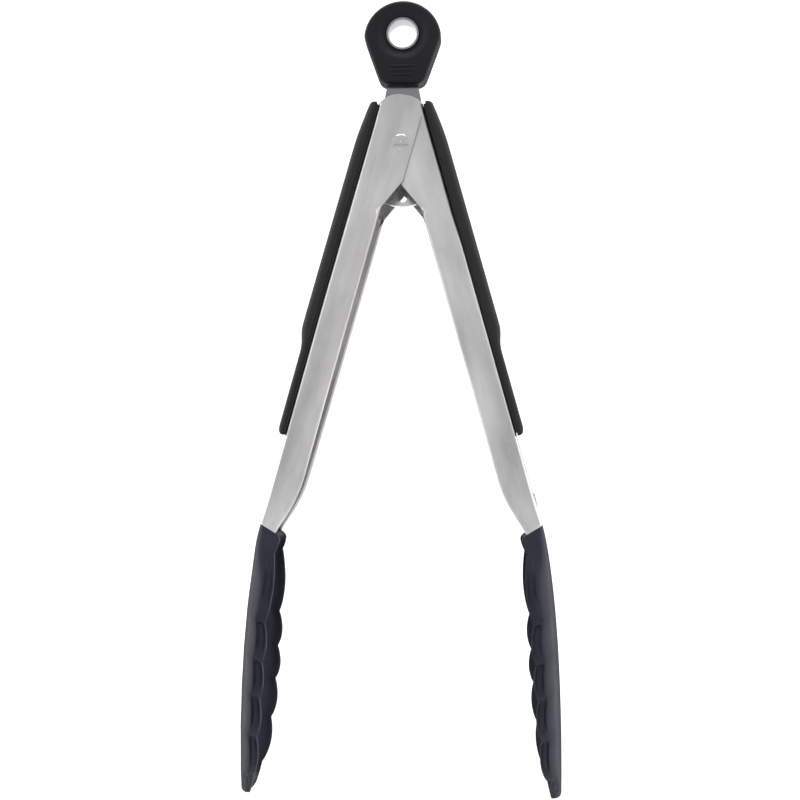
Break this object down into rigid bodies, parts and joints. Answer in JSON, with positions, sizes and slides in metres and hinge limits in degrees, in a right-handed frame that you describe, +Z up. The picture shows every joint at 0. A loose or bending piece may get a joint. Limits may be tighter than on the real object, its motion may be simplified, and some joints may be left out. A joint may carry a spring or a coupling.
{
  "type": "kitchen tongs",
  "caption": "Spring loaded kitchen tongs: steel channel arms with black soft grips, scalloped silicone heads and a pull tab that locks them shut.",
  "frame": {"origin": "centre of the hanging hole in the pull tab", "axes": "+Z up towards the top of the loop, with the heads hanging below; +X towards the right arm; +Y to the rear, along the pivot and the hanging hole"},
  "size_m": [0.1028, 0.0358, 0.2563],
  "materials": {
    "arm_steel": "satin, brushed along the arm",
    "soft_grip": "matt, fine grain",
    "nylon": "matt",
    "silicone": "soft satin",
    "tab_plastic": "matt, fine grain",
    "bright_steel": "polished",
    "slider_steel": "plain stamped sheet",
    "spring_steel": "drawn wire"
  },
  "bodies": {
    "tab": {"pull_tab": "tab_plastic", "hang_ring": "bright_steel", "lock_slider": "slider_steel"},
    "hinge": {"pivot_rivet": "bright_steel", "front_bush": "nylon", "rear_bush": "nylon", "front_spring": "spring_steel", "rear_spring": "spring_steel"},
    "left_arm": {"left_arm": "arm_steel", "left_grip": "soft_grip", "left_grip_base": "nylon", "left_head": "silicone", "left_head_core": "nylon", "left_head_rivet": "bright_steel"},
    "right_arm": {"right_arm": "arm_steel", "right_grip": "soft_grip", "right_grip_base": "nylon", "right_head": "silicone", "right_head_core": "nylon", "right_head_rivet": "bright_steel"}
  },
  "joints": [
    {"name": "lock_slide", "type": "slide", "parent": "tab", "child": "hinge", "axis": [0, 0, -1], "range_m": [0, 0.005]},
    {"name": "left_arm_swing", "type": "hinge", "parent": "hinge", "child": "left_arm", "pos_m": [0, 0, -0.0376], "axis": [0, -1, 0], "range_deg": [0, 12.7], "stiffness_Nm_per_rad": 0.6, "springref_deg": -17.19, "deforming": ["front_spring", "rear_spring"]},
    {"name": "right_arm_swing", "type": "hinge", "parent": "hinge", "child": "right_arm", "pos_m": [0, 0, -0.0376], "axis": [0, 1, 0], "range_deg": [0, 12.7], "stiffness_Nm_per_rad": 0.6, "springref_deg": -17.19}
  ],
  "couplings": [
    {"joint": "right_arm_swing", "follows": "left_arm_swing", "ratio": 1}
  ]
}
